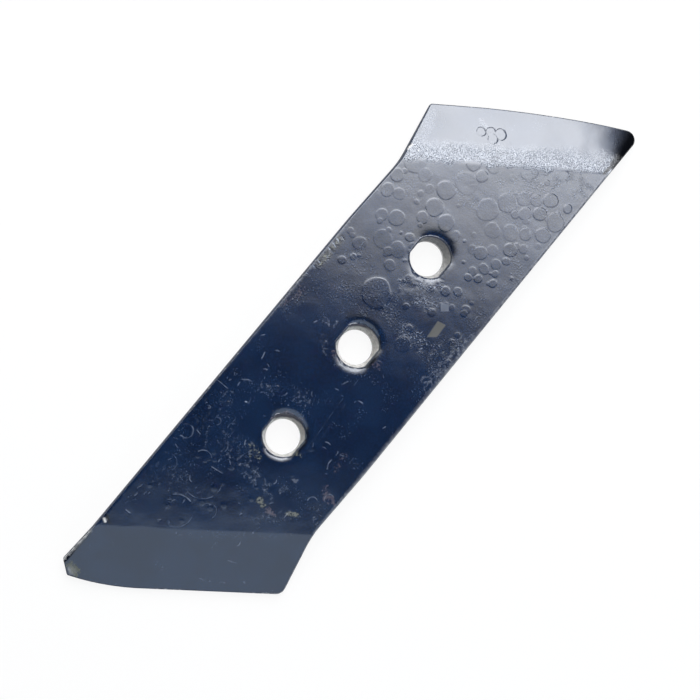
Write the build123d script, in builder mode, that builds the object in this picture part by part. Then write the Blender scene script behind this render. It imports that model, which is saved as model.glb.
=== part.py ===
from build123d import *
import os
from math import atan, cos, degrees, radians, sin, tan

# Reversible plough point: one flat bar of steel, forged at both ends.
# The point lies flat on its underside. The origin is on the middle bolt hole's axis, at the
# underside. +X runs along the line of holes, +Z up through the face that the bolt heads sit in.
# Turning the point half a turn about the middle hole brings the other end into work.
# The toe is an end's sharp corner, the heel is its blunt one. Sizes are in millimetres.

# Flat bar that the point is forged from
bar_width = 80.0
bar_thickness = 12.0
bar_edge_rounding = 1.2

# Bolt holes: a straight bore at the underside, a tapered seat with two flats above it, and a
# shallow dish round the mouth, left by the hot punch
hole_count = 3
hole_pitch = 53.0
bore_diameter = 16.0
bore_length = 4.0
seat_taper = 14.7
seat_flat_depth = 1.5
dish_width = 2.8
dish_slope = 11.0

# Bevelled end, slanted across the bar
end_slant = 53.5
hole_to_bevel = 56.5
bevel_width = 27.0
cutting_edge_thickness = 4.0

# Steel that the forging spread past the bar's sides
upper_heel_spread = 4.8
lower_heel_spread = 6.4
toe_spread = 1.4
neck_depth = 1.0
neck_length = 36.0
neck_blend = 40.0

# The cutting edge is straight from the heel, then bows back to the toe
toe_setback = 6.7
upper_straight = 24.0
upper_bow = 1.3
lower_straight = 62.0
lower_bow = 1.9

# Corners as forged: the upper toe is round and the lower one is sheared blunt
upper_heel_rounding = 1.0
upper_toe_rounding = 4.4
lower_heel_rounding = 4.6
lower_toe_cut = 6.9
lower_toe_rounding = 1.2

# The bevel rolls down to the toe's side in two steps, a broad one and a narrow steep one
roll_width = 19.0
roll_drop = 1.6
strip_width = 3.4
strip_drop = 1.7

# Places that follow from the sizes above, for the upper end
slant = radians(end_slant)
bevel_reach = hole_pitch * (hole_count - 1) / 2 + hole_to_bevel
bevel_slope = (bar_thickness - cutting_edge_thickness) / bevel_width
half_width = bar_width / 2


def on_slant(setout, across):
    """The point at this distance out from the bevel's start, and this far across the bar."""
    return Vector(bevel_reach + (setout - across * cos(slant)) / sin(slant), across)


def bevel_height(point):
    """The bevelled face's height over this point."""
    setout = (point.X - bevel_reach) * sin(slant) + point.Y * cos(slant)
    return bar_thickness - bevel_slope * setout


def turned(vector):
    """The same place or direction on the lower end, half a turn about the middle hole."""
    return Vector(-vector.X, -vector.Y, vector.Z)


upper_heel = on_slant(bevel_width, half_width + upper_heel_spread)
lower_heel = on_slant(bevel_width, half_width + lower_heel_spread)
toe = on_slant(bevel_width - toe_setback, -half_width - toe_spread)
toe_side_start = on_slant(0, -half_width)
neck = on_slant(0, half_width) - Vector(0, neck_depth)
neck_start = neck + Vector(-neck_length, neck_depth)


def end_edge(heel, straight, bow):
    """Points of a cutting edge: the shoulder, where its bow starts, and the bow's middle."""
    shoulder = heel + straight * Vector(cos(slant), -sin(slant))
    outward = (toe - shoulder).rotate(Axis.Z, 90).normalized()
    return shoulder, (shoulder + toe) / 2 + outward * bow


upper_shoulder, upper_crown = end_edge(upper_heel, upper_straight, upper_bow)
lower_shoulder, lower_crown = end_edge(lower_heel, lower_straight, lower_bow)

# Outline, seen from above
with BuildSketch() as outline:
    with BuildLine():
        Polyline(turned(toe), turned(toe_side_start), neck_start, neck, upper_heel)
        Line(upper_heel, upper_shoulder)
        ThreePointArc(upper_shoulder, upper_crown, toe)
        Polyline(toe, toe_side_start, turned(neck_start), turned(neck), turned(lower_heel))
        Line(turned(lower_heel), turned(lower_shoulder))
        ThreePointArc(turned(lower_shoulder), turned(lower_crown), turned(toe))
    make_face()
    for corner in (neck, turned(neck)):
        fillet(outline.vertices().sort_by_distance(corner)[0], neck_blend)
    fillet(outline.vertices().sort_by_distance(upper_heel)[0], upper_heel_rounding)
    fillet(outline.vertices().sort_by_distance(toe)[0], upper_toe_rounding)
    fillet(outline.vertices().sort_by_distance(turned(lower_heel))[0], lower_heel_rounding)
    chamfer(outline.vertices().sort_by_distance(turned(toe))[0], lower_toe_cut)
    fillet(outline.vertices().sort_by_distance(turned(toe))[0:2], lower_toe_rounding)

# The void that one bolt fills, with its base on the underside
seat_length = bar_thickness - bore_length
bore_radius = bore_diameter / 2
seat_radius = bore_radius + seat_length * tan(radians(seat_taper))
across_flats = 2 * (seat_radius - seat_flat_depth)
dish_radius = seat_radius + dish_width
dish_depth = (dish_radius - bore_radius) * tan(radians(dish_slope))
standing = (Align.CENTER, Align.CENTER, Align.MIN)
with BuildPart() as bolt_void:
    with Locations((0, 0, bore_length)):
        Cone(bore_radius, seat_radius, seat_length, align=standing)
        Box(2 * seat_radius, across_flats, seat_length, align=standing, mode=Mode.INTERSECT)
    Cylinder(bore_radius, bar_thickness, align=standing)
    with Locations((0, 0, bar_thickness - dish_depth)):
        Cone(bore_radius, dish_radius, dish_depth, align=standing)


def plane_through(first, second, third):
    """The plane through three points, its normal upward."""
    normal = (second - first).cross(third - first)
    if normal.Z < 0:
        normal = -normal
    return Plane(origin=first, z_dir=normal)


# Faces that are planed off the upper end: the bevel, then the roll and the strip at the toe
apex = toe_side_start + Vector(0, 0, bar_thickness)
inboard = (upper_shoulder - toe).normalized()
roll_foot = toe + inboard * roll_width
strip_foot = toe + inboard * strip_width
toe_height = bevel_height(toe) - roll_drop
strip_height = toe_height + roll_drop * strip_width / roll_width
bevel_plane = Plane(
    origin=on_slant(0, 0) + Vector(0, 0, bar_thickness),
    z_dir=Vector(bevel_slope * sin(slant), bevel_slope * cos(slant), 1),
)
roll_plane = plane_through(
    apex,
    roll_foot + Vector(0, 0, bevel_height(roll_foot)),
    toe + Vector(0, 0, toe_height),
)
strip_plane = plane_through(
    apex,
    strip_foot + Vector(0, 0, strip_height),
    toe + Vector(0, 0, toe_height - strip_drop),
)

def runs_along_side(edge):
    """True for the edges of the bar's long sides, which the rolling mill left rounded."""
    return abs(edge.center().Y) > half_width - 1.5 * neck_depth


with BuildPart() as plough_point:
    add(outline.sketch)
    extrude(amount=bar_thickness)
    for flat_face in plough_point.faces().filter_by(Axis.Z):
        fillet(flat_face.edges().filter_by(runs_along_side), bar_edge_rounding)
    for face_plane in (bevel_plane, roll_plane, strip_plane):
        split(bisect_by=face_plane, keep=Keep.BOTTOM)
        split(
            bisect_by=Plane(origin=turned(face_plane.origin), z_dir=turned(face_plane.z_dir)),
            keep=Keep.BOTTOM,
        )
    with GridLocations(hole_pitch, 0, hole_count, 1):
        add(bolt_void.part, mode=Mode.SUBTRACT)

plough_point.part.label = "plough_point"

os.makedirs("parts", exist_ok=True)
export_step(plough_point.part, "parts/plough_point.step")

bevel_angle = degrees(atan(bevel_slope))
box = plough_point.part.bounding_box()
print(f"size {box.size.X:.1f} x {box.size.Y:.1f} x {box.size.Z:.1f} mm")
print(f"bevel {bevel_angle:.1f} degrees, volume {plough_point.part.volume / 1000:.1f} cm3")
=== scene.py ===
from collections import namedtuple
from math import cos, pi, radians, sin, tan

import bmesh
import bpy
import numpy as np
from mathutils import Matrix, Vector, kdtree
from mathutils.geometry import delaunay_2d_cdt


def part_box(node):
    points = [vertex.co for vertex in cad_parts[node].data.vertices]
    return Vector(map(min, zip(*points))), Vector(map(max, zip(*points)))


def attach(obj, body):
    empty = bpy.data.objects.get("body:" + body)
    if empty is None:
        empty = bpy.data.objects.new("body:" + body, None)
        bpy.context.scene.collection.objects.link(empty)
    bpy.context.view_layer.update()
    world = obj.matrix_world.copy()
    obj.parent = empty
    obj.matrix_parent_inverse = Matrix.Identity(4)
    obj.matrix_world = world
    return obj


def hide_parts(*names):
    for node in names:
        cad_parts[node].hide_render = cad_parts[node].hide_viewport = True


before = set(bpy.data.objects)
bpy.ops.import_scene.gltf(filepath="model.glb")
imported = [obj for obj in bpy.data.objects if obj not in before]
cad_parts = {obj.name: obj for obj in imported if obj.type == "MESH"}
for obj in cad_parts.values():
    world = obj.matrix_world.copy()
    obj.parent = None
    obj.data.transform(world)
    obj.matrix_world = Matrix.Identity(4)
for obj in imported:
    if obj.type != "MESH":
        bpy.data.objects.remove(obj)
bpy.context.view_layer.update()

# Reversible plough point, dressed as one forged and painted piece.
# Plan places and heights are in millimetres until the mesh is made, in the CAD part's frame:
# +X along the bolt holes to the upper end, +Z up, origin under the middle hole.
MM = 0.001
NODE = "plough_point"
SEED = 7

# Sizes of the part. An end's toe is its sharp corner and its heel is the blunt one.
low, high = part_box(NODE)
THICKNESS = (high.z - low.z) / MM
HALF_WIDTH = 40.0
END_SLANT = radians(53.5)
BEVEL_REACH = 109.5
BEVEL_WIDTH = 27.0
CUTTING_EDGE = 4.0
BEVEL_SLOPE = (THICKNESS - CUTTING_EDGE) / BEVEL_WIDTH
TOE_SPREAD = 1.4
TOE_SETBACK = 6.7

# How the bevel rolls down to the toe's side: its drop there, the angle that it takes up round
# the side's start, and how sharply it curves. A crease is the rounding of the bevel's start.
UPPER_CREASE, LOWER_CREASE = 0.35, 0.3
UPPER_ROLL = ((2.8, radians(80), 1.72), (0.5, radians(12), 1.5))
LOWER_ROLL = ((1.6, radians(44), 1.0), (1.15, radians(5), 1.0))

# Bolt holes: the centre along the bar, the mouth's radius as the paint left it, the depth and
# width of the dish round it, how much wider and shallower the dish is on its upper side, how
# far the punch came out aside at the underside, and how far the paint's colour reaches down the
# upper side, partly paint that ran in and partly painted shade
Hole = namedtuple("Hole", "centre mouth depth width ease aside paint")
HOLES = (
    Hole(53.0, 9.55, 0.4, 4.9, 0.33, (-0.25, 0.3), 0.7),
    Hole(0.0, 9.95, 0.47, 4.6, 0.0, (-0.1, -0.35), 3.0),
    Hole(-53.0, 9.75, 0.53, 4.4, 0.0, (-0.1, -0.8), 5.2),
)
BORE_RADIUS = 8.15
BORE_LENGTH = 4.0
BORE_CHAMFER = 0.3
SEAT_RISE = np.tan(radians(90 - 14.7))
FLAT_REACH = 8.6
MOUTH_ROUNDING = 0.35
HOLE_STEPS = 132
HOLE_ANGLES = np.arange(HOLE_STEPS) * 2 * pi / HOLE_STEPS

# The paint's surface lies this far under the CAD face, so that its drops stay inside the box
SKIN = 0.14
RIM_ROUNDING = 0.5
SECTION_HEIGHT = 2.0
WALL_ROWS = 6
DENT = 0.06

# Waves of the painted face: height, size and seed. Then the depths of other marks.
WAVES = ((0.04, 17, 3), (0.018, 6, 4), (0.006, 2.4, 5))
PIT_DEPTH, HAMMER_DEPTH, SCRATCH_DEPTH = 0.06, 0.07, 0.03

# Strips along the toes' sides: their widths where the side starts and at the toe. The first is bare
# steel; the other two are painted shade, a crease line and the upper toe that rolls from the lamps
BARE_STRIP, SHADE_LINE_STRIP, SHADED_STRIP = (0.5, 0.9), (1.2, 2.4), (0.6, 13)

# Spacing of the mesh: finest on the hammered steel, fine where drops crowd, coarse elsewhere.
# A gap is the least distance that a grid, or a later mark's points, keep from a mark's points.
FINEST, FINE, COARSE, UNDERSIDE = 0.4, 0.55, 1.0, 7.0
FINEST_GAP, FINE_GAP, COARSE_GAP, UNDERSIDE_GAP = 0.2, 0.25, 0.4, 2.5
MARK_GAP = 0.3
ROW_SPACING = 0.866
GRID_SHAKE = 0.12
FINE_FROM = 42.0
HAMMERED_FROM = 0.3
OUTLINE_STEP = 0.55
GRID_REACH = high.x / MM + 2

# Camera: fitted to the long edges and to the near and far rims of the holes
PICTURE = 700
SENSOR = 36.0
FOCAL_PIXELS = 2050.0
CAMERA_PLACE = Vector((-0.1153, 0.0847, 0.9366))
CAMERA_TARGET = Vector((-0.00374, 0.00151, 0.012))
PICTURE_UP = Vector((0.7702, 0.6378, 0.0))

# Softbox beyond the upper end: angles from the vertical in degrees, its sides in metres. A ramp
# lists angles and the share of the radiance there, and the key's sides where each of its
# layers ends and the layer's share.
LAMP_DISTANCE = 1.15
LAMP_OUTWARD = Vector((0.921, 0.389, 0.0)).normalized()
KEY_FULL, KEY_TOP = 18.0, 66.0
KEY_RAMP = (
    (4.5, 0), (5.5, 0.008), (6.5, 0.027), (7.5, 0.068), (8.5, 0.19), (10.4, 0.285),
    (12.3, 0.395), (14.2, 0.54), (15.4, 0.72), (16.4, 0.88), (KEY_FULL, 1),
)
KEY_LEFT, KEY_RIGHT = -0.62, 0.42
KEY_SIDES = (
    (0.18, 0.08), (0.21, 0.15), (0.24, 0.17), (0.27, 0.16), (0.3, 0.15), (0.33, 0.11), (0.365, 0.09),
    (0.4, 0.06), (0.44, 0.03),
)
KEY_RADIANCE = 6.1
KEY_TINT = (0.97, 1.0, 1.05)
KEY_STEPS = 15
LAYER = 0.01

# Weaker panel on the other side, which the lower bevel shows, and one for the right side's rim
FILL_OUTWARD = Vector((0.8, 0.6, 0.0))
FILL_FAR, FILL_FULL = -57.0, -7.6
FILL_RAMP = (
    (FILL_FULL, 1), (-7.1, 0.8), (-6.8, 0.5), (-6.5, 0.33), (-6.2, 0.2), (-5.9, 0.11),
    (-5.4, 0.05), (-4.8, 0.02), (-4.2, 0),
)
FILL_LEFT, FILL_RIGHT = -0.6, 1.0
FILL_RADIANCE = 0.8
FILL_TINT = (0.85, 1.0, 1.16)
FILL_STEPS = 9
SIDE_OUTWARD = Vector((0.3, -0.95, 0.0)).normalized()
SIDE_ANGLE, SIDE_SPREAD, SIDE_REACH = 62, 44, 0.6
SIDE_RADIANCE = 0.9

# Floor and backdrop: half the width and the height in metres, and the colour as it is seen and
# as it scatters light onto the part
FLOOR_REACH, BACKDROP_HEIGHT = 6.0, 2.0
FLOOR_SEEN, FLOOR_SCATTER = (0.93, 0.91, 0.87, 1), (0.27, 0.265, 0.255, 1)
FLOOR_GLOW = 0.9
ROOM_LIGHT = 0.02

# Noises of the paint: how fine each is, per millimetre, and its detail
NOISES = {
    "cloud": (0.07, 3), "blotch": (0.25, 2), "powder": (0.6, 2), "grain": (0.75, 4),
    "speck": (1.3, 2), "dots": (1.8, 2),
}

# Colours of the paint and of what lies on it, with SHADE the near black of painted shade, and how
# opaque a mark is at its strongest
DEEP_BLUE, BLUE = (0.0008, 0.0095, 0.035, 1), (0.0028, 0.0155, 0.049, 1)
VIOLET = (0.007, 0.01, 0.042, 1)
GRIT_GREY, PIT_GREY = (0.26, 0.31, 0.39, 1), (0.55, 0.57, 0.62, 1)
# Pale grey of a cloudy layer that also paints sheen, then blue-grey dust
FILM_AND_SHEEN, DUST = (0.45, 0.46, 0.48, 1), (0.052, 0.07, 0.112, 1)
STAIN, SOIL = (0.13, 0.105, 0.12, 1), (0.11, 0.11, 0.065, 1)
SHADE, SLIP = (0.001, 0.0015, 0.003, 1), (0.15, 0.14, 0.115, 1)
DULL_STEEL, BRIGHT_STEEL = (0.58, 0.55, 0.51, 1), (0.92, 0.89, 0.84, 1)
# The pale colour below is for the scratches and for the painted highlight arcs
SCRATCH_AND_HIGHLIGHT = (0.38, 0.43, 0.53, 1)
OPACITY = {
    "chips": 0.6, "haze": 0.48, "square": 0.6, "rust": 0.6, "grime": 0.7, "film_and_sheen": 0.13,
    "slip": 0.68,
}
GLOSS, MATT = 0.12, 0.5
GLOSS_INDEX = 1.9
BUMP_HEIGHT = 0.3

# Marks on the paint are placed in photograph pixels, as they were measured there.
# Drops that stand proud of the top face: centre and radius
DROPS = (
    (415.7, 161.3, 12), (397.4, 174.9, 7), (387.5, 189.5, 7), (399, 194, 6), (425, 175, 7),
    (446.3, 190.3, 9.5), (467, 183, 12), (482.8, 176.2, 6), (474.5, 163, 8), (494.4, 168, 6),
    (507.7, 203, 10), (487.8, 210.2, 11.5), (524.3, 198.6, 7.5), (536.7, 200.3, 6), (515.2, 214.4, 4.3),
    (525.1, 213.5, 6.5), (540, 213.5, 7), (550.8, 200.3, 7.5), (555.8, 222.7, 9.5), (568.2, 208.6, 4.5),
    (564, 176, 6), (545.8, 169.6, 6), (529, 171, 9), (492.8, 231, 8), (510.2, 232.6, 8),
    (525, 234.3, 6), (543.4, 236, 8), (434.7, 207.7, 9), (446.3, 222.7, 8.5), (422.3, 217.7, 6),
    (396.6, 217.7, 8), (381.6, 214.4, 6.5), (383.3, 239.3, 10), (397.4, 249.2, 8), (410.4, 237.5, 4.5),
    (390, 265.5, 6), (481, 253.4, 7), (492.8, 250.9, 6), (510.2, 249.2, 7), (496, 264, 5.5),
    (483.6, 269, 5), (445.8, 291.4, 5), (458.6, 292.4, 4.5), (477.8, 279, 4.5), (467.9, 277.4, 4),
    (492.8, 283.2, 4), (482.8, 130.6, 4.6), (503.2, 133.4, 6.3), (493.8, 138, 5.5), (359.7, 242.7, 6.5),
    (353, 256.7, 3.5), (342, 260, 4), (377, 293, 15.5), (402.7, 344, 8), (464, 313.6, 3.5),
    (377.3, 364.5, 4), (492.5, 131.5, 5.3),
)

# A drop's height and its edge's width, how much thicker its upper side is, how many heights one
# on the bevel has, and how many the paint between the drops is sunk by
DROP_HEIGHT = 0.036
DROP_EDGE = 0.32
DROP_LEAN = 0.4
BEVEL_DROP = 6
DROP_SINK = 3
SMALL_DROPS = 90
SPATTER = 40

# Rough spots, dust, soil, rust stains, worn spots, painted shade, hammered and pitted spots.
# Each is a path, given as x and y in turn, its half width, and how much is covered.
GRIT = (
    (421, 296, 428, 300, 11, 1), (405, 330, 420, 345, 9, 0.9), (425, 344, 432, 352, 7, 0.9),
    (445, 345, 462, 352, 9, 0.7), (388, 312, 400, 326, 9, 0.7), (430, 362, 446, 378, 9, 0.6),
    (540, 180, 590, 186, 14, 0.6), (505, 185, 530, 190, 12, 0.4), (405, 285, 438, 287, 7, 0.9),
    (215, 430, 240, 450, 16, 0.25), (225, 400, 235, 420, 14, 0.3), (247, 462, 255, 478, 9, 0.2),
    (322, 240, 340, 262, 6, 0.3), (366, 300, 400, 300, 10, 0.35), (270, 385, 300, 400, 14, 0.4),
    (240, 375, 250, 385, 8, 0.3), (320, 265, 342, 239, 3.5, 1.3), (224, 383, 236, 368, 3, 0.7),
    (190, 440, 180, 470, 14, 0.3), (437, 392, 475, 345, 5, 0.5), (340, 290, 365, 315, 14, 0.4),
    (298, 290, 316, 282, 12, 0.4), (284, 306, 296, 300, 8, 0.5), (352, 270, 366, 262, 9, 0.35),
)
HAZE = (
    (300, 397, 306, 400, 8, 0.45), (246, 466, 254, 476, 9, 0.55), (230, 440, 244, 462, 13, 0.35),
    (252, 446, 256, 455, 5, 0.5), (264, 482, 268, 496, 4.5, 0.55), (281, 491, 287, 487, 3, 0.6),
    (294, 480, 296, 481, 2, 1), (324, 321, 334, 323, 5, 0.45), (322, 334, 327, 352, 4, 0.45),
    (262, 388, 274, 392, 7, 0.4), (176, 474, 182, 478, 4, 0.45), (420, 293, 430, 303, 10, 0.4),
    (160, 470, 200, 500, 16, 0.25), (205, 420, 225, 400, 14, 0.25), (255, 520, 285, 515, 8, 0.4),
    (432, 384, 468, 344, 11, 0.6), (315, 520, 318, 524, 4, 0.6), (190, 535, 300, 536, 4, 0.3),
)
GRIME = (
    (259, 500, 264, 506, 3, 0.8), (288, 514, 297, 515, 3.4, 0.8), (253, 448, 256, 455, 6, 0.45),
    (445, 352, 470, 345, 9, 0.2), (428, 368, 442, 378, 9, 0.15), (320, 263, 341, 238, 3.5, 0.4),
    (71, 566, 76, 573, 4, 1), (286, 452, 300, 455, 3, 0.4),
)
RUST = (
    (267, 509, 272, 514, 3.2, 0.85), (326, 496, 333, 502, 4.2, 0.65), (334, 352, 337, 360, 3, 0.6),
    (374, 364, 379, 367, 3.4, 0.6), (273, 419, 285, 413, 301, 420, 2.6, 0.6),
    (324, 488, 326, 490, 4, 0.4), (296, 296, 300, 288, 5, 0.45), (470, 345, 474, 351, 5, 0.45),
    (283, 305, 287, 300, 3, 0.5), (335, 470, 345, 455, 4, 0.3),
)
# Worn spots; the first is a painted highlight, the glint on the small facet at the lower toe's notch
WORN_AND_HIGHLIGHT = (
    (104.5, 519.5, 106, 520.8, 0.9, 1.2), (408, 148, 413, 144, 1, 0.7), (70, 569, 73, 573, 3.2, 0.3),
)
# Painted shade: spots where shade falls, along the left edges of the upper bevel and of the body, in
# the shadow beside the glint at the lower toe's notch, round the upper and right sides of the holes,
# and inside the upper toe's right edge
PAINTED_SHADE_SPOTS = (
    (319, 264, 341, 238, 4.5, 0.6), (106.5, 516, 109.5, 521.5, 1.6, 1),
    (404, 152, 414, 130, 429, 104, 0.9, 0.7), (404, 148, 412, 143, 1.6, 0.7),
    (379.5, 337, 380, 350, 374, 360, 367, 367, 1.7, 0.85),
    (307.5, 428, 308, 437, 304, 445, 295, 455, 1.5, 0.8), (451, 240, 453, 252, 451, 262, 2.2, 0.6),
    (416, 234, 430, 226, 447, 233, 454, 246, 5, 0.5), (350, 316, 366, 316, 377, 328, 3.5, 0.4),
    (605, 173.5, 613, 164, 623, 153, 1.8, 0.9),
)
HAMMERED = (
    (404, 286, 420, 282, 438, 283, 6.5, 0.8), (338, 359, 343, 364, 2.5, 0.9),
    (350, 368, 358, 369, 2.5, 0.5),
)
PITTED = (
    (422, 142, 434, 110, 6, 0.2), (484, 119, 487, 125, 3, 0.3),
)

# Clean-edged marks: a pale square and a tan slip, by their corners, and half their edge's width
SOFT_EDGE = 0.3
PALE_SQUARE = ((440.5, 303), (449, 304), (449, 311), (441, 311.5))
TAN_SLIP = ((438, 321), (446, 325), (437, 337), (427, 337))

# Scratches, as paths in the same form, and arcs of painted highlight where the rims of dried drops
# catch the light: centre, radius, and the angles in degrees clockwise from the picture's right where
# one starts and ends. The last number of each is its strength.
SCRATCHES = (
    (217, 379.5, 222, 383.5, 0.6), (222, 383.5, 232, 392, 0.3), (305.5, 272.5, 310.5, 276, 0.8),
    (300, 268, 303, 271, 0.3), (327.4, 468, 328.5, 463.5, 331, 460.5, 333.5, 458.5, 0.7),
    (335.5, 462, 339, 460.5, 0.3), (336.2, 455.5, 338, 452.5, 0.35), (212, 467, 222, 473, 0.3),
    (359, 379, 338, 405, 317, 435, 296, 464, 0.05), (345, 405, 320, 440, 0.04),
    (229, 561.5, 232, 562, 0.4), (234, 563, 237, 563.5, 0.25), (200.5, 579.5, 203.5, 580.5, 0.3),
    (205.5, 581.5, 207, 581.5, 0.25), (210.5, 582.5, 212, 582, 0.25), (222, 583.5, 226.5, 584, 0.25),
    (245.5, 401.5, 246.5, 402, 1.0), (258.5, 389.5, 260, 390, 0.6), (343, 384, 349, 381, 0.6),
    (383.5, 376, 384, 378.5, 0.6), (269, 384, 271, 386, 0.4), (284, 518, 288, 513, 0.3),
    (314, 520, 317, 519, 0.6), (126, 510, 130, 513, 0.4), (262, 358, 266, 350, 0.4),
    (313.5, 266, 315.5, 268, 0.9), (319, 261, 320, 262.5, 0.8), (326, 254, 327.5, 256.5, 0.9),
    (329, 248, 330.5, 250, 0.9), (334, 244, 335.5, 246.5, 1.0), (337.5, 239, 338.5, 241.5, 0.9),
    (342, 237, 343, 238, 0.7), (323, 258, 325, 258.5, 0.6), (332, 252, 333, 253, 0.6),
    (340, 243, 341, 244.5, 0.5),
)
STRAY_FLECKS = 80
HIGHLIGHT_ARCS = (
    (247, 386, 6.5, -110, -40, 0.38), (186.4, 430.8, 7.2, -100, 130, 0.19),
    (186.4, 430.8, 7.2, -35, 10, 0.38), (203, 459, 9, -120, -10, 0.3), (203, 479, 20, 15, 150, 0.17),
    (176, 512, 18, -95, -35, 0.41), (176, 509, 18, 30, 110, 0.14), (208.6, 511, 8, -150, 60, 0.11),
    (312.6, 502, 5, -150, -20, 0.3), (329.5, 499.5, 5, 160, 330, 0.22), (358, 406, 5, -130, -50, 0.45),
    (322, 453, 6, -80, -30, 0.15), (168, 462, 9, -60, 60, 0.11), (233, 428, 5, -170, -40, 0.19),
    (222, 446, 6, -60, 60, 0.15), (217, 421, 4, -90, 90, 0.15),
)
SCRATCH_REACH = 0.36


def camera_axes():
    """The camera's right, up and backward directions."""
    back = (CAMERA_PLACE - CAMERA_TARGET).normalized()
    right = PICTURE_UP.cross(back).normalized()
    return right, back.cross(right), back


def on_plate(pixel_x, pixel_y, height):
    """The plan place that a pixel of the photograph shows at this height, in millimetres."""
    right, up, back = camera_axes()
    ray = right * (pixel_x - PICTURE / 2) - up * (pixel_y - PICTURE / 2) - back * FOCAL_PIXELS
    place = CAMERA_PLACE + ray * ((height * MM - CAMERA_PLACE.z) / ray.z)
    return place.x / MM, place.y / MM


def pixel_size(height):
    """One photograph pixel in millimetres, at this height under the camera."""
    return (CAMERA_PLACE.z / MM - height) / FOCAL_PIXELS


def fade(start, end, value):
    """From 0 at the start to 1 at the end, smoothly."""
    t = np.clip((value - start) / (end - start), 0, 1)
    return t * t * (3 - 2 * t)


def soft_min(a, b, blend):
    """The lower of two heights, with the crease between them rounded over."""
    t = np.clip(0.5 + 0.5 * (b - a) / blend, 0, 1)
    return b + (a - b) * t - blend * t * (1 - t)


def noise(x, y, cell, seed):
    """Smooth random values from -1 to 1 over the plan, with one new value in each cell."""
    size = 509
    grid = np.random.default_rng(SEED + seed).uniform(-1, 1, (size, size))
    u, v = x / cell, y / cell
    column, row = np.floor(u).astype(int), np.floor(v).astype(int)
    s, t = u - column, v - row
    s, t = s * s * (3 - 2 * s), t * t * (3 - 2 * t)
    left, right = column % size, (column + 1) % size
    below, above = row % size, (row + 1) % size
    near = grid[below, left] * (1 - s) + grid[below, right] * s
    far = grid[above, left] * (1 - s) + grid[above, right] * s
    return near * (1 - t) + far * t


def setout(x, y):
    """How far out from an upper bevel's start a plan place lies."""
    return (x - BEVEL_REACH) * np.sin(END_SLANT) + y * np.cos(END_SLANT)


def on_slant(out, across):
    """The plan place this far out from the upper bevel's start and this far across the bar."""
    return np.array([BEVEL_REACH + (out - across * np.cos(END_SLANT)) / np.sin(END_SLANT), across])


TOE_START = on_slant(0, -HALF_WIDTH)
TOE_SIDE = on_slant(BEVEL_WIDTH - TOE_SETBACK, -HALF_WIDTH - TOE_SPREAD) - TOE_START


def forged_end(x, y, crease, rolls):
    """Height of the top face near the upper end: flat, bevelled, and rolled down at the toe."""
    flat = THICKNESS - SKIN
    wavy = setout(x, y) + 0.3 * noise(x, y, 7, 36)
    height = soft_min(flat, flat - BEVEL_SLOPE * wavy, crease)
    from_x, from_y = x - TOE_START[0], y - TOE_START[1]
    angle = np.arctan2(from_y, from_x) - np.arctan2(TOE_SIDE[1], TOE_SIDE[0])
    share = np.hypot(from_x, from_y) / np.hypot(*TOE_SIDE)
    ahead = angle > -pi / 2
    for drop, reach, power in rolls:
        height -= share * ahead * drop * np.clip(1 - angle / reach, 0, 1) ** power
    return height


def toe_strip(x, y, start, end, softness):
    """A strip along the upper toe's side that widens from start to end, with soft edges."""
    length = np.hypot(*TOE_SIDE)
    side = TOE_SIDE / length
    from_x, from_y = x - TOE_START[0], y - TOE_START[1]
    travel = (from_x * side[0] + from_y * side[1]) / length
    gap = from_y * side[0] - from_x * side[1]
    width = start + (end - start) * np.clip(travel, 0, 1.2)
    return fade(0, 0.1, travel) * fade(1 + softness, 1 - softness, gap / width)


def mouth_radius(angle, hole):
    """Distance from a hole's axis to the rim of its mouth, which has two flats along the bar."""
    return np.minimum(hole.mouth, FLAT_REACH / np.maximum(np.abs(np.sin(angle)), 0.1))


def past_mouth(x, y, hole):
    """How far beyond the rim of a hole's mouth each plan point lies, and in which direction."""
    angle = np.arctan2(y, x - hole.centre)
    return np.hypot(x - hole.centre, y) - mouth_radius(angle, hole), angle


def dish(x, y):
    """How far the top face sinks towards the mouths of the bolt holes, least beside a flat."""
    sink = np.zeros_like(x)
    for hole in HOLES:
        out, angle = past_mouth(x, y, hole)
        lean = 1.3 * np.maximum(np.sin(angle), 0) * np.maximum(-np.cos(angle), 0)
        share = np.clip(1.2 * (np.abs(np.cos(angle)) - lean), 0.12, 1)
        ease = hole.ease * (np.cos(angle) * PICTURE_UP.x + np.sin(angle) * PICTURE_UP.y)
        width = hole.width * (1 + ease)
        sink += hole.depth * (1 - ease / 3) * share * np.clip(1 - out / width, 0, 1) ** 3
    return sink


def drop_places():
    """Plan place, radius and height of every paint drop: those measured, then small ones."""
    rng = np.random.default_rng(SEED)
    size = pixel_size(THICKNESS)
    drops = []
    for pixel_x, pixel_y, radius in DROPS:
        x, y = on_plate(pixel_x, pixel_y, THICKNESS)
        height = BEVEL_DROP if setout(x, y) > 4 else rng.uniform(0.4, 1.1)
        drops.append((x, y, radius * size, height))
    for _ in range(SMALL_DROPS):
        x = 130 - 110 * rng.power(0.9)
        y = rng.uniform(2 - HALF_WIDTH, HALF_WIDTH - 2)
        drops.append((x, y, rng.uniform(0.6, 2.2), rng.uniform(0.3, 0.7)))
    for _ in range(SPATTER):
        x = rng.uniform(-115, -35)
        y = rng.uniform(0, 38) - 25 * rng.random() ** 3
        drops.append((x, y, rng.uniform(0.4, 1.3), rng.uniform(0.4, 1.0)))
    return drops


def warp(x, y):
    """How far a plan point is shifted against the drops, so that none is quite round."""
    return 0.5 * noise(x, y, 5, 50), 0.5 * noise(x, y, 5, 51)


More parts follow.
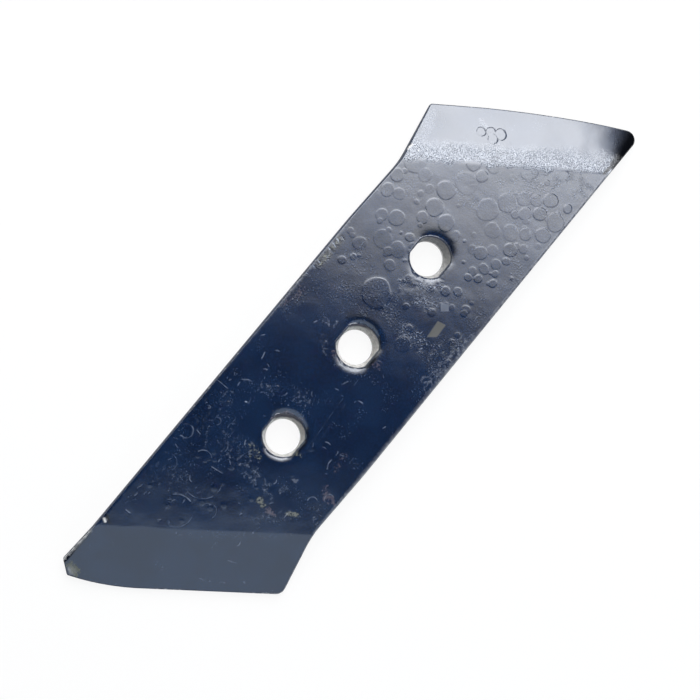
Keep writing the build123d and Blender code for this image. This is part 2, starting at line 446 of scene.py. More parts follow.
def drop_relief(x, y, drops):
    """Height that the paint drops add, thickest on their upper sides, in full drop heights."""
    shift_x, shift_y = warp(x, y)
    relief = np.zeros_like(x)
    for centre_x, centre_y, radius, height in drops:
        from_x, from_y = x + shift_x - centre_x, y + shift_y - centre_y
        upward = (from_x * PICTURE_UP.x + from_y * PICTURE_UP.y) / radius
        thickness = 1 + DROP_LEAN * np.clip(upward, -1, 1)
        half_edge = DROP_EDGE * thickness / 2
        edge = fade(radius + half_edge, radius - half_edge, np.hypot(from_x, from_y))
        relief = np.maximum(relief, height * thickness * edge)
    return relief


def path_places(pixels):
    """A path measured in the photograph, as plan places on the top face."""
    return [np.array(on_plate(x, y, THICKNESS)) for x, y in pixels]


def pairs(numbers):
    """Numbers that are x and y in turn, as pixel places."""
    return list(zip(numbers[::2], numbers[1::2]))


def path_distance(x, y, path):
    """Distance of each plan point from a path of straight stretches."""
    nearest = np.full_like(x, np.inf)
    for start, end in zip(path, path[1:]):
        along = end - start
        share = ((x - start[0]) * along[0] + (y - start[1]) * along[1]) / (along @ along)
        share = np.clip(share, 0, 1)
        gap = np.hypot(x - start[0] - share * along[0], y - start[1] - share * along[1])
        nearest = np.minimum(nearest, gap)
    return nearest


def patch_mask(x, y, patches, seed):
    """How strongly patches with ragged edges mark each plan point, from 0 to 1."""
    ragged = 0.35 * noise(x, y, 1.7, seed) + 0.25 * noise(x, y, 0.7, seed + 1)
    mask = np.zeros_like(x)
    for *path, radius, amount in patches:
        distance = path_distance(x, y, path_places(pairs(path))) / (radius * pixel_size(THICKNESS))
        mask = np.maximum(mask, amount * fade(1.35, 0.65, distance + ragged))
    return mask


def polygon_sides(pixels):
    """The start and end of each side of a polygon that was measured in the photograph."""
    corners = path_places(pixels)
    return list(zip(corners, corners[1:] + corners[:1]))


def polygon_mask(x, y, pixels):
    """One inside a polygon whose corners run clockwise in the photograph, and zero outside."""
    depth = np.full_like(x, np.inf)
    for start, end in polygon_sides(pixels):
        along = (end - start) / np.hypot(*(end - start))
        depth = np.minimum(depth, (x - start[0]) * along[1] - (y - start[1]) * along[0])
    return fade(-SOFT_EDGE, SOFT_EDGE, depth)


def scratch_and_highlight_paths():
    """Every one of the scratches and painted highlight arcs, as plan places and a strength."""
    paths = [(path_places(pairs(path)), amount) for *path, amount in SCRATCHES]
    for x, y, radius, start, end, amount in HIGHLIGHT_ARCS:
        turns = np.radians(np.linspace(start, end, 9))
        pixels = [(x + radius * np.cos(turn), y + radius * np.sin(turn)) for turn in turns]
        paths.append((path_places(pixels), amount))
    return paths + stray_flecks()


def stray_flecks():
    """Short faint scratches over the lower half, most of them near its left side."""
    rng = np.random.default_rng(SEED + 80)
    flecks = []
    for _ in range(STRAY_FLECKS):
        middle = np.array([rng.uniform(-118, 5), 37 - 74 * rng.random() ** 1.6])
        turn, reach = rng.uniform(0, pi), rng.uniform(0.2, 1.1)
        arm = reach * np.array([np.cos(turn), np.sin(turn)])
        bend = rng.uniform(-0.4, 0.4) * np.array([-arm[1], arm[0]])
        flecks.append(([middle - arm, middle + bend, middle + arm], rng.uniform(0.08, 0.4)))
    return flecks


# Strength of the scratches and of the painted highlight arcs, which also sink the face slightly
def scratch_and_highlight_mask(x, y):
    mask = np.zeros_like(x)
    for path, amount in scratch_and_highlight_paths():
        distance = path_distance(x, y, path)
        mask = np.maximum(mask, amount * np.clip(1 - distance / SCRATCH_REACH, 0, 1))
    return mask * np.clip(0.65 + 0.9 * noise(x, y, 1.8, 60), 0, 1.2)


def pitting(x, y):
    """Roughness of the upper bevel's start, where the hammered steel shows through the paint."""
    out = setout(x, y) + 1.6 * noise(x, y, 5, 26) + 0.8 * noise(x, y, 1.8, 27)
    band = fade(-1.8, 0.8, out) * fade(11.5, 4.5, out)
    return np.maximum(band, patch_mask(x, y, PITTED, 52))


def grit_mask(x, y):
    """Where the paint is rough: in measured spots, and lightly all over in drifts."""
    spray = fade(0.2, 0.9, noise(x, y, 7, 22)) * 0.3
    gaps = 0.3 + 0.7 * fade(-0.35, 0.35, noise(x, y, 2.4, 24))
    return np.maximum(patch_mask(x, y, GRIT, 20) * gaps, spray)


def plain_top(x, y):
    """Height of the unbroken top face, without dishes, drops or marks."""
    upper = forged_end(x, y, UPPER_CREASE, UPPER_ROLL)
    return np.minimum(upper, forged_end(-x, -y, LOWER_CREASE, LOWER_ROLL))


def top_height(x, y, drops):
    """Height of the painted top face over the whole plan."""
    height = plain_top(x, y) - dish(x, y)
    height += sum(wave * noise(x, y, cell, seed) for wave, cell, seed in WAVES)
    height += DROP_HEIGHT * (drop_relief(x, y, drops) - DROP_SINK)
    rough = 0.6 * noise(x, y, 1.3, 1) + 0.4 * noise(x, y, 0.7, 2)
    hammered = HAMMER_DEPTH * patch_mask(x, y, HAMMERED, 54)
    hammered = np.maximum(PIT_DEPTH * pitting(x, y), hammered)
    return height + hammered * rough - SCRATCH_DEPTH * scratch_and_highlight_mask(x, y)


def outline_loop():
    """The part's outline in plan, read off a level cut through the CAD solid."""
    cut = bmesh.new()
    cut.from_mesh(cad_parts[NODE].data)
    bmesh.ops.remove_doubles(cut, verts=cut.verts, dist=1e-6)
    everything = cut.verts[:] + cut.edges[:] + cut.faces[:]
    level = Vector((0, 0, SECTION_HEIGHT * MM))
    found = bmesh.ops.bisect_plane(cut, geom=everything, plane_co=level, plane_no=(0, 0, 1))
    neighbours = {}
    for edge in (e for e in found["geom_cut"] if isinstance(e, bmesh.types.BMEdge)):
        for vertex in edge.verts:
            neighbours.setdefault(vertex, []).append(edge.other_vert(vertex))
    start = max(neighbours, key=lambda vertex: vertex.co.x)
    loop = [start]
    step = neighbours[start][0]
    while step is not start:
        loop.append(step)
        step = next(v for v in neighbours[step] if v is not loop[-2])
    places = np.array([(v.co.x / MM, v.co.y / MM) for v in loop])
    cut.free()
    ahead = np.roll(places, -1, axis=0)
    if np.sum(places[:, 0] * ahead[:, 1] - ahead[:, 0] * places[:, 1]) < 0:
        places = places[::-1]
    return places


def even_steps(loop, step):
    """The same closed loop with its points spread evenly, about one step apart."""
    closed = np.concatenate([loop, loop[:1]])
    travel = np.concatenate([[0], np.cumsum(np.hypot(*np.diff(closed, axis=0).T))])
    stops = np.linspace(0, travel[-1], int(travel[-1] / step), endpoint=False)
    columns = [np.interp(stops, travel, closed[:, axis]) for axis in (0, 1)]
    return np.stack(columns, axis=1)


def inward_normals(loop):
    """Unit directions into a counter-clockwise loop, at each of its points."""
    along = np.roll(loop, -1, axis=0) - np.roll(loop, 1, axis=0)
    along /= np.hypot(*along.T)[:, None]
    return np.stack([-along[:, 1], along[:, 0]], axis=1)


def grid_points(x_low, x_high, spacing, rng):
    """A triangular grid of plan points between two stations, slightly shaken."""
    rows = np.arange(-HALF_WIDTH - 10, HALF_WIDTH + 10, spacing * ROW_SPACING)
    columns = np.arange(x_low, x_high, spacing)
    x, y = np.meshgrid(columns, rows)
    x[1::2] += spacing / 2
    points = np.stack([x.ravel(), y.ravel()], axis=1)
    return points + rng.uniform(-GRID_SHAKE, GRID_SHAKE, points.shape) * spacing


def drop_points(drops):
    """Rings of points along the edges of the paint drops."""
    rings = []
    for x, y, radius, _ in drops:
        for offset in (-1.1, -0.55, -0.1, 0.35, 0.9):
            reach = radius + offset * DROP_EDGE
            angle = np.arange(0, 2 * pi, 0.6 / reach)
            ring_x, ring_y = x + reach * np.cos(angle), y + reach * np.sin(angle)
            shift_x, shift_y = warp(ring_x, ring_y)
            rings.append(np.stack([ring_x - shift_x, ring_y - shift_y], axis=1))
    return np.concatenate(rings)


def dish_points():
    """Rings of points on the dishes round the holes."""
    rings = []
    for hole in HOLES:
        mouth = mouth_radius(HOLE_ANGLES, hole) + MOUTH_ROUNDING
        for out in np.arange(0.5, hole.width, 0.6):
            rings.append(ring(hole.centre, mouth + out)[::2])
    return np.concatenate(rings)


def line_stops(start, end, first, step):
    """Points along a line, the first of them this far in, and the direction to its left."""
    length = np.hypot(*(end - start))
    along = (end - start) / length
    stops = np.arange(first, length, step)[:, None] * along + start
    return stops, np.array([-along[1], along[0]])


def scratch_and_highlight_points():
    """Points along the scratches and painted highlight arcs, and beside them."""
    rows = []
    for path, _ in scratch_and_highlight_paths():
        for start, end in zip(path, path[1:]):
            stops, left = line_stops(start, end, 0, 0.4)
            side = left * SCRATCH_REACH
            rows += [stops, stops + side, stops - side]
    return np.concatenate(rows)


def polygon_points():
    """Points along the clean-edged marks, on both sides of their edges."""
    rows = []
    for start, end in polygon_sides(PALE_SQUARE) + polygon_sides(TAN_SLIP):
        stops, left = line_stops(start, end, 0.2, 0.5)
        side = left * SOFT_EDGE
        rows += [stops + side, stops - side]
    return np.concatenate(rows)


def crease_points():
    """Rows of points along the start of each bevel."""
    rows = []
    across = np.arange(-HALF_WIDTH - 5, HALF_WIDTH + 5, 0.5)
    for out in (-1.5, -0.9, -0.45, 0, 0.45, 0.9, 1.5):
        line = np.stack(on_slant(out, across), axis=1)
        rows += [line, -line]
    return np.concatenate(rows)


def far_from(points, others, distance):
    """The points that lie further than distance from every one of the others."""
    tree = kdtree.KDTree(len(others))
    for index, (x, y) in enumerate(others):
        tree.insert((x, y, 0), index)
    tree.balance()
    gaps = np.array([tree.find((x, y, 0))[2] for x, y in points])
    return points[gaps > distance]


def inside_mouth(points, margin):
    """True for the plan points within a bolt hole's mouth, widened by margin."""
    return np.min([past_mouth(*points.T, hole)[0] for hole in HOLES], axis=0) < margin


def ring(centre, radius, aside=(0, 0)):
    x = centre + aside[0] + radius * np.cos(HOLE_ANGLES)
    return np.stack([x, aside[1] + radius * np.sin(HOLE_ANGLES)], axis=1)


def fill(loops, points, is_hole):
    """Triangles over the plan inside the first loop, leaving out the others."""
    edges, start = [], 0
    for loop in loops:
        count = len(loop)
        edges += [(start + i, start + (i + 1) % count) for i in range(count)]
        start += count
    every = np.concatenate(loops + [points])
    flat = [Vector((x, y)) for x, y in every]
    _, _, faces, sources, _, _ = delaunay_2d_cdt(flat, edges, [], 1, 1e-7)
    faces = np.array([source[0] for source in sources])[np.array(faces)]
    return every, faces[~is_hole(every[faces].mean(axis=1))]


class Shell:
    """The vertices and faces of the piece, gathered patch by patch."""

    def __init__(self):
        self.verts, self.kinds, self.faces, self.count = [], [], [], 0

    def add(self, plan, heights, kind):
        """New vertices, and the number of the first one."""
        first = self.count
        heights = np.broadcast_to(heights, len(plan))
        self.verts.append(np.column_stack([plan, heights]))
        self.kinds.append(np.full(len(plan), kind))
        self.count += len(plan)
        return first

    def extend(self, upper, plan, heights, kind):
        """A new ring of vertices, joined by quads to the ring above it. Returns its start."""
        lower, count = self.add(plan, heights, kind), len(plan)
        for i in range(count):
            after = (i + 1) % count
            self.faces.append((upper + i, lower + i, lower + after, upper + after))
        return lower


TOP, LIP, WALL, SEAT, BORE, BASE = range(6)


def add_rim(shell, rim, start, drops):
    """The rounded top edge, the side wall and the rounded bottom edge."""
    inward = inward_normals(rim)
    heights = top_height(*(rim + inward * RIM_ROUNDING).T, drops)
    for turn in np.radians((22.5, 45, 67.5, 90)):
        plan = rim + inward * RIM_ROUNDING * (1 - np.sin(turn))
        start = shell.extend(start, plan, heights - RIM_ROUNDING * (1 - np.cos(turn)), WALL)
    wall_top = heights - RIM_ROUNDING
    along = np.arange(len(rim)) * OUTLINE_STEP
    for row in range(1, WALL_ROWS + 1):
        level = wall_top + (RIM_ROUNDING - wall_top) * row / WALL_ROWS
        dent = DENT + DENT * noise(along, level, 2.5, 10)
        plan = rim + inward * (dent * (row < WALL_ROWS))[:, None]
        start = shell.extend(start, plan, level, WALL)
    for turn in np.radians((60, 30, 0)):
        plan = rim + inward * RIM_ROUNDING * (1 - np.sin(turn))
        start = shell.extend(start, plan, RIM_ROUNDING * (1 - np.cos(turn)), WALL)
    return start


def lip(hole):
    """The ring where the top face starts to round over into a hole."""
    return ring(hole.centre, mouth_radius(HOLE_ANGLES, hole) + MOUTH_ROUNDING)


def add_hole(shell, hole, start, drops):
    """The rounded mouth, the tapered seat with its two flats, and the bore."""
    mouth = mouth_radius(HOLE_ANGLES, hole)
    heights = top_height(*lip(hole).T, drops)
    for turn, kind in zip(np.radians((25, 50, 75)), (LIP, LIP, SEAT)):
        plan = ring(hole.centre, mouth + MOUTH_ROUNDING * (1 - np.sin(turn)))
        start = shell.extend(start, plan, heights - MOUTH_ROUNDING * (1 - np.cos(turn)), kind)
    rim_height = heights - MOUTH_ROUNDING
    cone_height = np.minimum(BORE_LENGTH + (mouth - BORE_RADIUS) * SEAT_RISE, rim_height - 0.3)
    steps = [(mouth, rim_height + (cone_height - rim_height) * t, 0, SEAT) for t in (0.5, 1)]
    for t in (0.25, 0.5, 0.75, 1):
        radius = mouth + (BORE_RADIUS - mouth) * t
        steps.append((radius, cone_height + (BORE_LENGTH - cone_height) * t, t, SEAT))
    for height in (2.6, 1.2, BORE_CHAMFER):
        steps.append((BORE_RADIUS, height, 1, BORE))
    steps.append((BORE_RADIUS + BORE_CHAMFER, 0.0, 1, BORE))
    for radius, height, share, kind in steps:
        aside = hole.aside[0] * share, hole.aside[1] * share
        start = shell.extend(start, ring(hole.centre, radius, aside), height, kind)
    return start


def top_points(borders, drops, rng):
    """Plan points for the top face: along its marks and creases, then a grid between."""
    rings = far_from(drop_points(drops), scratch_and_highlight_points(), MARK_GAP)
    marks = np.concatenate([scratch_and_highlight_points(), polygon_points(), rings, crease_points()])
    marks = np.concatenate([far_from(marks, dish_points(), MARK_GAP), dish_points()])
    marks = far_from(marks, borders, MARK_GAP)
    coarse = grid_points(-GRID_REACH, FINE_FROM, COARSE, rng)
    fine = grid_points(FINE_FROM, GRID_REACH, FINE, rng)
    fine = fine[pitting(*fine.T) < HAMMERED_FROM]
    finest = grid_points(FINE_FROM, GRID_REACH, FINEST, rng)
    finest = finest[pitting(*finest.T) >= HAMMERED_FROM]
    guides = np.concatenate([borders, marks])
    grids = (coarse, COARSE_GAP), (fine, FINE_GAP), (finest, FINEST_GAP)
    kept = [far_from(grid, guides, gap) for grid, gap in grids]
    points = np.concatenate([marks] + kept)
    return points[~inside_mouth(points, MOUTH_ROUNDING)]


def forging_shell(drops):
    """Every vertex and face of the piece."""
    rng = np.random.default_rng(SEED)
    rim = even_steps(outline_loop(), OUTLINE_STEP)
    inset = rim + inward_normals(rim) * RIM_ROUNDING
    loops = [inset] + [lip(hole) for hole in HOLES]
    points = top_points(np.concatenate(loops), drops, rng)
    plan, faces = fill(loops, points, lambda middles: inside_mouth(middles, MOUTH_ROUNDING * 0.9))
    shell = Shell()
    first = shell.add(plan, top_height(*plan.T, drops), TOP)
    shell.faces += [tuple(face) for face in (faces + first).tolist()]
    wall_end = add_rim(shell, rim, first, drops)
    starts = [first + len(inset) + HOLE_STEPS * i for i in range(len(HOLES))]
    ends = [add_hole(shell, hole, start, drops) for hole, start in zip(HOLES, starts)]
    add_underside(shell, inset, wall_end, ends, rng)
    return shell


def add_underside(shell, inset, wall_end, bore_ends, rng):
    """The flat face that the part lies on, joined to the wall and to the bores."""
    radius = BORE_RADIUS + BORE_CHAMFER
    loops = [inset] + [ring(hole.centre, radius, hole.aside) for hole in HOLES]
    grid = grid_points(-GRID_REACH, GRID_REACH, UNDERSIDE, rng)
    grid = far_from(grid, np.concatenate(loops), UNDERSIDE_GAP)

    def in_bore(points):
        x, y = points.T
        reaches = [np.hypot(x - h.centre - h.aside[0], y - h.aside[1]) for h in HOLES]
        return np.min(reaches, axis=0) < BORE_RADIUS + 0.25

    grid = grid[~in_bore(grid)]
    plan, faces = fill(loops, grid, in_bore)
    border = sum(len(loop) for loop in loops)
    first = shell.add(plan[border:], 0.0, BASE)
    numbers = [wall_end + i for i in range(len(inset))]
    for end in bore_ends:
        numbers += [end + i for i in range(HOLE_STEPS)]
    numbers = np.array(numbers + [first + i for i in range(len(plan) - border)])
    shell.faces += [tuple(face[::-1]) for face in numbers[faces].tolist()]


def seat_place(x, y):
    """Which hole each point is nearest to, and how far towards the hole's upper side it lies."""
    centres = np.array([hole.centre for hole in HOLES])
    nearest = np.abs(x[:, None] - centres).argmin(axis=1)
    across = x - centres[nearest]
    lift = (across * PICTURE_UP.x + y * PICTURE_UP.y) / np.maximum(np.hypot(across, y), 1)
    return nearest, np.clip(lift, 0, 1)


def bare_seat_and_shade(x, y, level, kinds):
    """Bare steel in a bolt hole, giving way to the paint's colour down the upper side, partly paint
    that ran in and partly painted shade, and held back in the bore as painted shade.
    """
    nearest, lift = seat_place(x, y)
    depth = THICKNESS - level - 0.2 + 0.4 * noise(x, y, 1.5, 33)
    # Partly paint that ran in and partly painted shade: the paint's colour reaches further down the
    # walls on each hole's upper side, which face away from the lamps
    depth -= np.array([hole.paint for hole in HOLES])[nearest] * lift ** 1.5
    # Painted shade: less steel in the first hole, least on its upper side, and in every unlit bore
    amount = np.where(nearest == 0, 0.7 - 0.3 * lift, 0.97) * np.where(kinds == BORE, 0.3, 1)
    return fade(0, 1.2, depth) * amount


def bare_steel(x, y, level, kinds, painted_shade):
    """Where the paint is worn off or never reached: in the holes, and on edges."""
    hole = (kinds == SEAT) | (kinds == BORE)
    rubbed = fade(-38.2, -39.3, y) * fade(0.9, 0.5, plain_top(x, y) - level)
    rubbed *= (kinds == WALL) * 0.27 + (kinds == TOP) * 0.11 * fade(0, -6, setout(-x, -y))
    rubbed *= 1 + 0.5 * noise(x, y, 2.2, 35) + 0.4 * noise(x, y, 0.8, 37)
    strip = toe_strip(-x, -y, *BARE_STRIP, 0.2) * (0.5 + 0.25 * noise(x, y, 1.3, 31))
    spots = np.maximum(patch_mask(x, y, WORN_AND_HIGHLIGHT, 46), strip) * near_top(x, y, level)
    worn = np.maximum(rubbed * (1 - painted_shade), spots)
    return np.where(hole, bare_seat_and_shade(x, y, level, kinds), np.clip(worn, 0, 1))


def chipped(x, y, level, kinds):
    """Stretches of the sides where the paint has come off in flecks."""
    stretch = fade(0.0, 0.6, noise(x, y, 14, 34)) * fade(1.0, 3.0, level)
    return 0.5 * stretch * np.where(y < 0, 1, 0.5) * (kinds == WALL)


def near_top(x, y, level):
    """One on the top face and its rim, fading to zero further down the sides."""
    ragged = 0.5 * noise(x, y, 1.6, 38)
    return fade(3.0, 1.2, plain_top(x, y) - level + ragged)


def paint_marks(verts, kinds):
    """How strongly each vertex carries each kind of mark, from 0 to 1."""
    x, y, level = verts.T
    hole = (kinds == SEAT) | (kinds == BORE)
    top = kinds == TOP
    soot = fade(-0.2, 0.6, noise(x + level, y + level, 2.6, 32))
    # Painted shade: a line in the crease inside the lower toe's bare strip, the upper toe where it
    # rolls down away from the lamps, and the shade spots, fading out down the sides
    lower_shade_line = toe_strip(-x, -y, *SHADE_LINE_STRIP, 0.12)
    lower_shade_line *= 1 - toe_strip(-x, -y, *BARE_STRIP, 0.12)
    upper_toe_shade = toe_strip(x, y, *SHADED_STRIP, 0.7)
    painted_shade = np.maximum(upper_toe_shade, np.maximum(0.7 * lower_shade_line, patch_mask(x, y, PAINTED_SHADE_SPOTS, 48)))
    reach = near_top(x, y, level)
    painted_shade *= np.where(kinds == WALL, reach, 1)
    # A pale cloudy layer over the upper bevel, and painted sheen on the band just below the bevel's
    # start
    film_and_sheen = fade(0.5, 3, setout(x, y)) * (0.5 + 0.7 * noise(x, y, 13, 70))
    film_and_sheen += 0.3 * fade(24, 10, setout(x, y)) * fade(-6, 1, setout(x, y))
    return {
        "bare": bare_steel(x, y, level, kinds, painted_shade),
        "chips": chipped(x, y, level, kinds) * (1 - painted_shade),
        "haze": np.where(kinds == LIP, 0.4, patch_mask(x, y, HAZE, 40) * top),
        "square": polygon_mask(x, y, PALE_SQUARE) * top,
        "film_and_sheen": np.clip(film_and_sheen, 0, 1) * top * (1 - painted_shade),
        "grime": np.where(hole, 0.35 * soot, patch_mask(x, y, GRIME, 42) * reach),
        "slip": polygon_mask(x, y, TAN_SLIP) * top,
        "rust": np.where(hole, 0.9 * seat_place(x, y)[1], patch_mask(x, y, RUST, 44) * reach),
        "grit": grit_mask(x, y) * top,
        "pits": pitting(x, y) * top,
        "scratch_and_highlight": scratch_and_highlight_mask(x, y) * top,
        "shade": painted_shade * (kinds != BASE) * ~hole,
        "dull": np.select([kinds == WALL, kinds == SEAT, kinds == LIP], [0.95, 0.9, 0.65]),
    }


def make_piece():
    """The painted forging as one mesh, in metres, in the place of its CAD node."""
    shell = forging_shell(drop_places())
    verts = np.concatenate(shell.verts)
    kinds = np.concatenate(shell.kinds)
    used = np.unique(np.concatenate(shell.faces))
    number = {old: new for new, old in enumerate(used.tolist())}
    faces = [[number[i] for i in face] for face in shell.faces]
    mesh = bpy.data.meshes.new("painted_plough_point")
    mesh.from_pydata((verts[used] * MM).tolist(), [], faces)
    mesh.shade_smooth()
    for name, values in paint_marks(verts[used], kinds[used]).items():
        mesh.attributes.new(name, "FLOAT", "POINT").data.foreach_set("value", values)
    mesh.materials.append(paint_material())
    piece = add_object("painted_plough_point", mesh)
    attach(piece, "root")
    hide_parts(NODE)
    print("triangles", sum(len(face) - 2 for face in faces))


def add_object(name, data):
    """A new object in the scene."""
    added = bpy.data.objects.new(name, data)
    bpy.context.scene.collection.objects.link(added)
    return added


class Material:
    """A material's node tree, with short calls that add nodes to it."""

    def __init__(self, name):
        self.data = bpy.data.materials.new(name)
        self.data.use_nodes = True
        self.tree = self.data.node_tree
        self.tree.nodes.clear()

    def node(self, kind, inputs, **settings):
        """A new node with its settings, and with inputs given as numbers or as sockets."""
        node = self.tree.nodes.new("ShaderNode" + kind)
        for name, value in settings.items():
            setattr(node, name, value)
        for name, value in inputs.items():
            if isinstance(value, bpy.types.NodeSocket):
                self.tree.links.new(value, node.inputs[name])
            else:
                node.inputs[name].default_value = value
        return node

    def maths(self, operation, first, second):
        return self.node("Math", {0: first, 1: second}, operation=operation).outputs[0]

    def spread(self, value, low, high, to_low, to_high):
        """A value between low and high, taken smoothly to the range from to_low to to_high."""
        inputs = dict(enumerate((value, low, high, to_low, to_high)))
        return self.node("MapRange", inputs, interpolation_type="SMOOTHSTEP").outputs[0]

    def blend(self, amount, first, second):
        """The first colour, covered by the second as far as the amount says."""
        inputs = {0: amount, 6: first, 7: second}
        return self.node("Mix", inputs, data_type="RGBA").outputs[2]

    def mark(self, name):
        return self.node("Attribute", {}, attribute_name=name).outputs["Fac"]

    def veil(self, name):
        """A mark that covers evenly."""
        return self.maths("MULTIPLY", self.mark(name), OPACITY[name])

    def cover(self, grain, name):
        """A mark broken up by the grain, so that a weak one covers only scattered spots."""
        mark = self.mark(name)
        level = self.maths("ADD", grain, self.maths("MULTIPLY", mark, 0.35))
        spots = self.spread(level, 0.58, 0.9, 0, OPACITY[name])
        return self.maths("MULTIPLY", spots, self.spread(mark, 0.02, 0.3, 0, 1))

    def noise(self, place, scale, detail):
        inputs = {"Vector": place, "Scale": scale, "Detail": detail}
        return self.node("TexNoise", inputs).outputs[0]


def paint_colour(paint, noises, dust):
    """Colour of the paint, with grit, pits, a pale cloudy layer and painted sheen, dust, stains and
    painted shade on it.
    """
    amount = paint.spread(noises["cloud"], 0.35, 0.65, 0, 1)
    colour = paint.blend(amount, DEEP_BLUE, BLUE)
    amount = paint.spread(noises["blotch"], 0.55, 0.75, 0, 0.4)
    colour = paint.blend(amount, colour, VIOLET)
    fleck = paint.spread(noises["speck"], 0.6, 0.72, 0, 0.8)
    colour = paint.blend(paint.maths("MULTIPLY", fleck, paint.mark("grit")), colour, GRIT_GREY)
    fleck = paint.spread(noises["dots"], 0.42, 0.58, 0, 0.75)
    colour = paint.blend(paint.maths("MULTIPLY", fleck, paint.mark("pits")), colour, PIT_GREY)
    colour = paint.blend(paint.veil("film_and_sheen"), colour, FILM_AND_SHEEN)
    colour = paint.blend(dust, colour, DUST)
    colour = paint.blend(paint.cover(noises["grain"], "rust"), colour, STAIN)
    return paint.blend(paint.mark("shade"), colour, SHADE)


def worn_colour(paint, colour, grain, bare, soil):
    """The paint's colour with bare steel, soil, the tan slip, and scratches and painted highlight arcs
    over it.
    """
    steel = paint.blend(paint.spread(grain, 0.3, 0.7, 0, 1), DULL_STEEL, BRIGHT_STEEL)
    colour = paint.blend(bare, colour, steel)
    colour = paint.blend(soil, colour, SOIL)
    colour = paint.blend(paint.veil("slip"), colour, SLIP)
    return paint.blend(paint.mark("scratch_and_highlight"), colour, SCRATCH_AND_HIGHLIGHT)


def paint_normal(paint, noises):
    """Fine bumps, stronger where the paint is gritty and where the steel is pitted."""
    speck, dots = (paint.maths("SUBTRACT", noises[name], 0.5) for name in ("speck", "dots"))
    grainy = paint.maths("MULTIPLY", speck, paint.spread(paint.mark("grit"), 0, 1, 0.03, 0.24))
    relief = paint.maths("ADD", grainy, paint.maths("MULTIPLY", dots, paint.mark("pits")))
    return paint.node("Bump", {"Height": relief, "Distance": BUMP_HEIGHT * MM}).outputs[0]


def paint_roughness(paint, dust, soil, bare):
    """Roughness: low where the paint is whole, higher where it is covered, worn or pitted."""
    marred = paint.maths("MAXIMUM", paint.maths("MAXIMUM", dust, soil), bare)
    marred = paint.maths("MAXIMUM", marred, paint.maths("MULTIPLY", paint.mark("pits"), 0.3))
    return paint.maths("MAXIMUM", paint.spread(marred, 0, 1, GLOSS, MATT), paint.mark("dull"))


def paint_material():
    """Dark blue gloss paint on forged steel, marked and worn in spots."""
    paint = Material("painted_steel")
    metres = paint.node("TexCoord", {}).outputs["Object"]
    place = paint.node("VectorMath", {0: metres, 3: 1 / MM}, operation="SCALE").outputs[0]
    noises = {name: paint.noise(place, *look) for name, look in NOISES.items()}
    grain = noises["grain"]
    bare = paint.maths("MAXIMUM", paint.mark("bare"), paint.cover(grain, "chips"))
    dust = paint.maths("MAXIMUM", paint.cover(noises["powder"], "haze"), paint.veil("square"))
    soil = paint.cover(grain, "grime")
    colour = paint_colour(paint, noises, dust)
    shine = {
        "Base Color": worn_colour(paint, colour, grain, bare, soil),
        "Metallic": paint.maths("MULTIPLY", bare, 0.2),
        "Roughness": paint_roughness(paint, dust, soil, bare),
        "IOR": GLOSS_INDEX,
        "Normal": paint_normal(paint, noises),
    }
    shader = paint.node("BsdfPrincipled", shine)
    paint.node("OutputMaterial", {"Surface": shader.outputs[0]})
    return paint.data


def floor_material():
    """Pale floor with a shadow on it, near white to the camera and in reflections."""
    floor = Material("pale_floor")
    path = floor.node("LightPath", {}).outputs
    seen = floor.maths("ADD", path["Is Camera Ray"], path["Is Glossy Ray"])
    seen = floor.maths("ADD", seen, path["Is Transmission Ray"])
    seen = floor.maths("MINIMUM", seen, 1)
    colour = floor.blend(seen, FLOOR_SCATTER, FLOOR_SEEN)
    diffuse = floor.node("BsdfDiffuse", {"Color": colour})
    glow = floor.node("Emission", {})
    share = floor.maths("MULTIPLY", seen, FLOOR_GLOW)
    mix = floor.node("MixShader", {0: share, 1: diffuse.outputs[0], 2: glow.outputs[0]})
    floor.node("OutputMaterial", {"Surface": mix.outputs[0]})
    return floor.data


def make_floor():
    """The pale floor, and a low backdrop of the same kind all round it."""
    mesh = bpy.data.meshes.new("floor")
    reach = FLOOR_REACH
    plan = [(-reach, -reach), (reach, -reach), (reach, reach), (-reach, reach)]
    corners = [(x, y, z) for z in (0, BACKDROP_HEIGHT) for x, y in plan]
    sides = [(i, (i + 1) % 4, (i + 1) % 4 + 4, i + 4) for i in range(4)]
    mesh.from_pydata(corners, [], [(0, 1, 2, 3)] + sides)
    mesh.materials.append(floor_material())
    add_object("floor", mesh)


def make_camera():
    data = bpy.data.cameras.new("camera")
    data.sensor_width = SENSOR
    data.lens = FOCAL_PIXELS / PICTURE * SENSOR
    camera = add_object("camera", data)
    turn = Matrix(camera_axes()).transposed().to_4x4()
    camera.matrix_world = Matrix.Translation(CAMERA_PLACE) @ turn
    bpy.context.scene.camera = camera


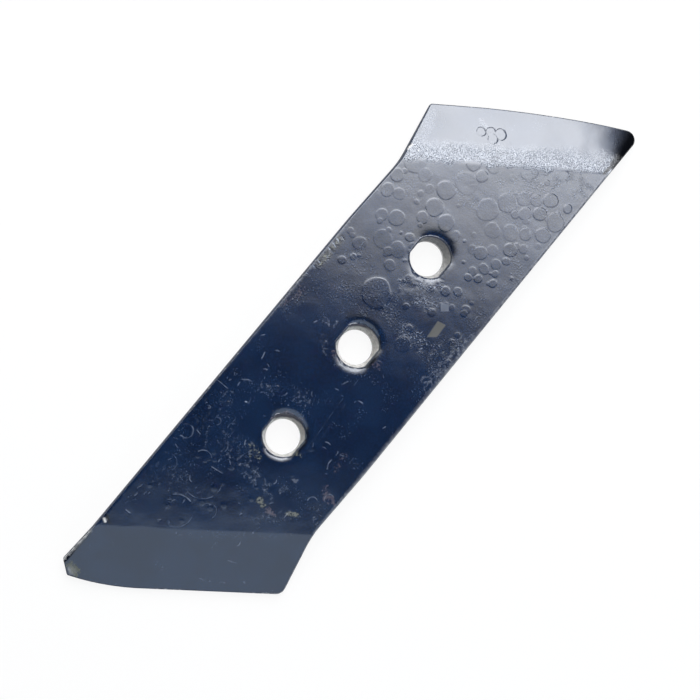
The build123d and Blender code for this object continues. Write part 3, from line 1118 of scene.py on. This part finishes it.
def make_panel(name, distance, angle, spread, left, right, radiance, tint, toward=LAMP_OUTWARD):
    """A soft lamp that faces the part, leaning from the vertical by an angle.

    It takes up a spread of angles, and reaches aside from left to right in metres.
    """
    back = toward * sin(radians(angle)) + Vector((0, 0, cos(radians(angle))))
    aside = toward.cross(Vector((0, 0, 1)))
    turn = Matrix((aside, back.cross(aside), back)).transposed().to_4x4()
    data = bpy.data.lights.new(name, "AREA")
    data.shape = "RECTANGLE"
    data.size = right - left
    data.size_y = 2 * distance * tan(radians(spread / 2))
    data.energy = radiance * pi * data.size * data.size_y
    data.color = tint
    centre = back * distance + aside * (left + right) / 2
    add_object(name, data).matrix_world = Matrix.Translation(centre) @ turn


def make_ramp(name, ramp, steps, left, right, radiance, tint, toward=LAMP_OUTWARD):
    """Panels side by side that follow a ramp of radiance."""
    angles, shares = zip(*ramp)
    step = (angles[-1] - angles[0]) / steps
    for index in range(steps):
        middle = angles[0] + step * (index + 0.5)
        label, share = f"{name}_{index + 1}", float(np.interp(middle, angles, shares))
        level = radiance * share
        make_panel(label, LAMP_DISTANCE, middle, step, left, right, level, tint, toward)


def make_key():
    """The main softbox, which fades out towards the camera and at its right side."""
    middle, spread = (KEY_FULL + KEY_TOP) / 2, KEY_TOP - KEY_FULL
    for index, (right, share) in enumerate(KEY_SIDES):
        name, distance = f"key_{index + 1}", LAMP_DISTANCE + LAYER * index
        radiance = KEY_RADIANCE * share
        make_panel(name, distance, middle, spread, KEY_LEFT, right, radiance, KEY_TINT)
    make_ramp("key_edge", KEY_RAMP, KEY_STEPS, KEY_LEFT, KEY_RIGHT, KEY_RADIANCE, KEY_TINT)


def make_fill():
    """The weak panels: a wide one with a soft edge, and the side one."""
    middle, spread = (FILL_FAR + FILL_FULL) / 2, FILL_FULL - FILL_FAR
    sides = FILL_LEFT, FILL_RIGHT
    look = FILL_RADIANCE, FILL_TINT, FILL_OUTWARD
    make_panel("fill", LAMP_DISTANCE, middle, spread, *sides, *look)
    make_ramp("fill_edge", FILL_RAMP, FILL_STEPS, *sides, *look)
    look = SIDE_RADIANCE, FILL_TINT, SIDE_OUTWARD
    make_panel("side", LAMP_DISTANCE, SIDE_ANGLE, SIDE_SPREAD, -SIDE_REACH, SIDE_REACH, *look)


def make_world():
    """The dim room over the studio."""
    world = bpy.data.worlds.new("studio")
    world.use_nodes = True
    background = world.node_tree.nodes["Background"]
    background.inputs["Color"].default_value = (1, 1, 1, 1)
    background.inputs["Strength"].default_value = ROOM_LIGHT
    bpy.context.scene.world = world


make_piece()
make_floor()
make_camera()
make_world()
make_key()
make_fill()
bpy.context.scene.view_settings.view_transform = "Standard"
